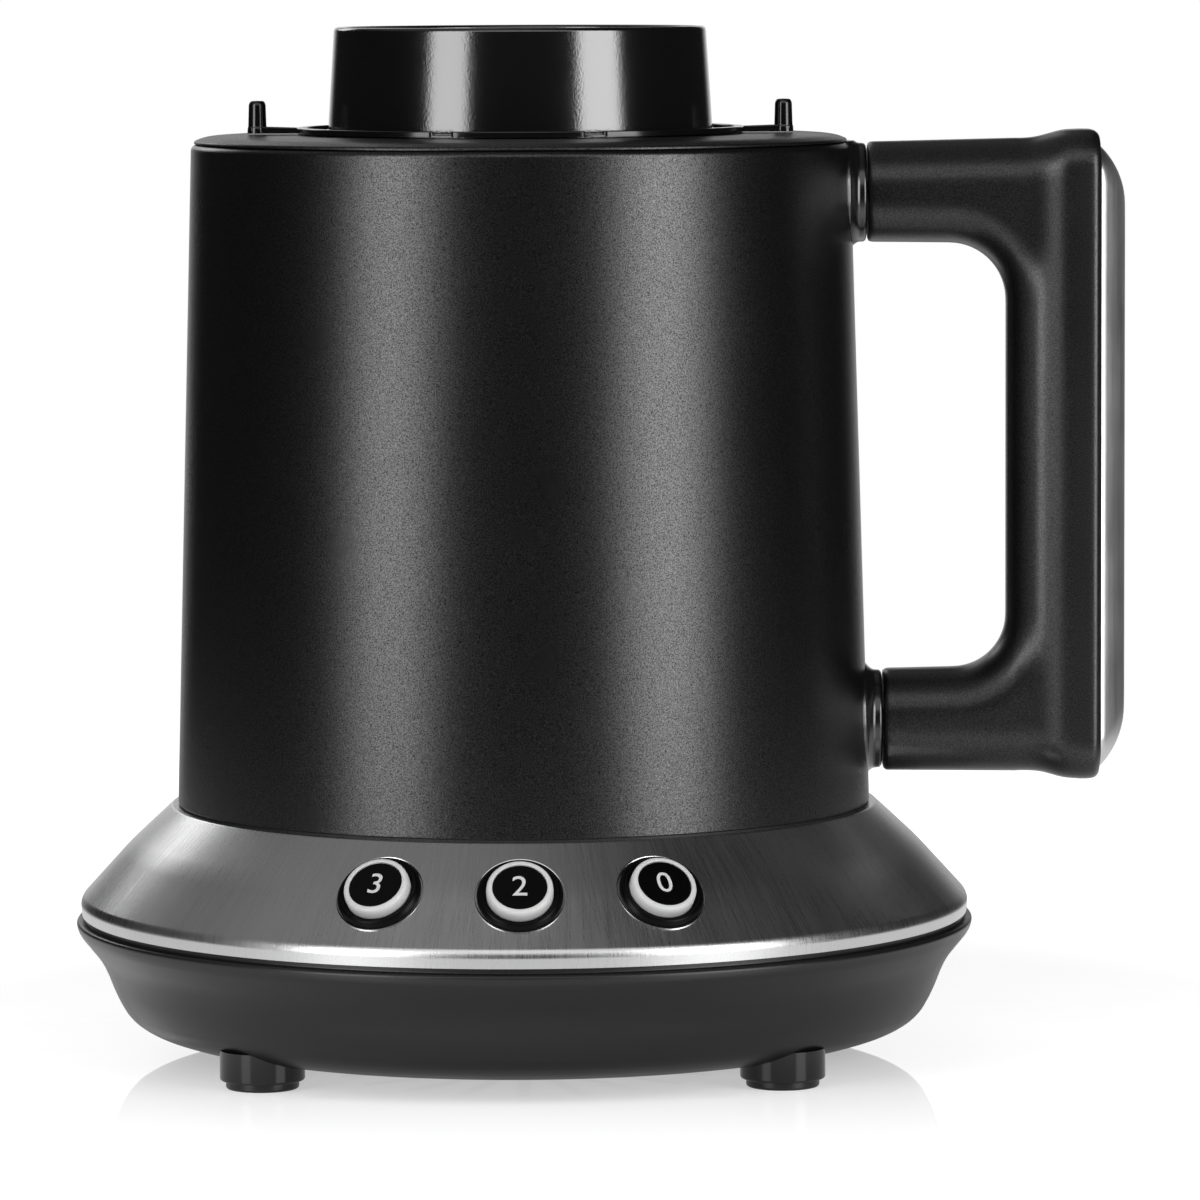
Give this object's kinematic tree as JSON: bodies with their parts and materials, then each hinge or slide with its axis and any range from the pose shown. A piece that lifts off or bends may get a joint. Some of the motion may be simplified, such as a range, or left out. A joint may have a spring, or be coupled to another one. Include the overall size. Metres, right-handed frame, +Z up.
{
  "type": "home coffee bean roaster",
  "caption": "Hot-air coffee bean roaster: black drum on a steel-skirted round base, push buttons, mug-style handle, lift-off chimney over a steel roasting chamber.",
  "frame": {"origin": "on the table under the middle of the whole roaster, handle included; the drum's axis stands at x = -17.2 mm", "axes": "+Z up, -Y to the front with the buttons, +X towards the handle"},
  "size_m": [0.236, 0.2016, 0.2302],
  "materials": {
    "pan_plastic": "satin black moulded plastic",
    "foot_rubber": "smooth black rubber",
    "zinc_steel": "zinc-plated",
    "gland_rubber": "matt black rubber",
    "inner_plastic": "dark heat-resistant plastic",
    "brushed_steel": "brushed stainless steel",
    "seal_rubber": "black silicone",
    "bezel_plastic": "gloss black",
    "button_white": "translucent white",
    "button_black": "black with white numerals",
    "circuit_board": "green laminate",
    "fan_aluminium": "pressed",
    "mica": "mica sheet",
    "heating_wire": "oxidised heating wire",
    "inner_steel": "spun stainless steel",
    "body_coat": "fine-grained black powder coat",
    "deck_plastic": "matt black",
    "grip_plastic": "soft matt black",
    "chimney_gloss": "high-gloss black",
    "ring_plastic": "semi-gloss black"
  },
  "bodies": {
    "roaster": {"base_pan": "pan_plastic", "rubber_feet": "foot_rubber", "base_screws": "zinc_steel", "cable_gland": "gland_rubber", "chassis_plate": "inner_plastic", "base_skirt": "brushed_steel", "shell_seal": "seal_rubber", "button_bezels": "bezel_plastic", "switch_boards": "circuit_board", "tact_switches": "inner_plastic", "control_board": "circuit_board", "board_components": "inner_plastic", "motor": "zinc_steel", "motor_bracket": "zinc_steel", "fan_housing": "inner_plastic", "heater_frame": "mica", "heater_coil": "heating_wire", "heater_duct": "inner_steel", "thermostat": "zinc_steel", "roasting_chamber": "inner_steel", "heat_shield": "inner_steel", "body_shell": "body_coat", "top_deck": "deck_plastic", "upper_boss": "body_coat", "lower_boss": "body_coat", "handle_grip": "grip_plastic", "handle_cover": "brushed_steel", "handle_screws": "zinc_steel"},
    "chimney": {"chimney_cup": "chimney_gloss", "chimney_ring": "ring_plastic", "finger_pins": "ring_plastic", "bean_guard": "inner_steel", "guard_ring": "inner_steel", "chimney_seal": "seal_rubber"},
    "button_left": {"button_left": "button_white", "button_disc_left": "button_black"},
    "button_centre": {"button_centre": "button_white", "button_disc_centre": "button_black"},
    "button_right": {"button_right": "button_white", "button_disc_right": "button_black"},
    "fan": {"motor_shaft": "zinc_steel", "fan_impeller": "fan_aluminium", "fan_nut": "zinc_steel"}
  },
  "joints": [
    {"name": "chimney_lift", "type": "slide", "parent": "roaster", "child": "chimney", "axis": [0, 0, 1], "range_m": [0, 0.06]},
    {"name": "button_left_press", "type": "slide", "parent": "roaster", "child": "button_left", "axis": [0.2419, 0.6774, -0.6947], "range_m": [0, 0.0012], "stiffness_N_per_m": 800, "springref_m": -0.0005},
    {"name": "button_centre_press", "type": "slide", "parent": "roaster", "child": "button_centre", "axis": [0, 0.7193, -0.6947], "range_m": [0, 0.0012], "stiffness_N_per_m": 800, "springref_m": -0.0005},
    {"name": "button_right_press", "type": "slide", "parent": "roaster", "child": "button_right", "axis": [-0.2419, 0.6774, -0.6947], "range_m": [0, 0.0012], "stiffness_N_per_m": 800, "springref_m": -0.0005},
    {"name": "fan_spin", "type": "hinge", "parent": "roaster", "child": "fan", "pos_m": [-0.0172, 0, 0.0736], "axis": [0, 0, 1], "continuous": true}
  ]
}
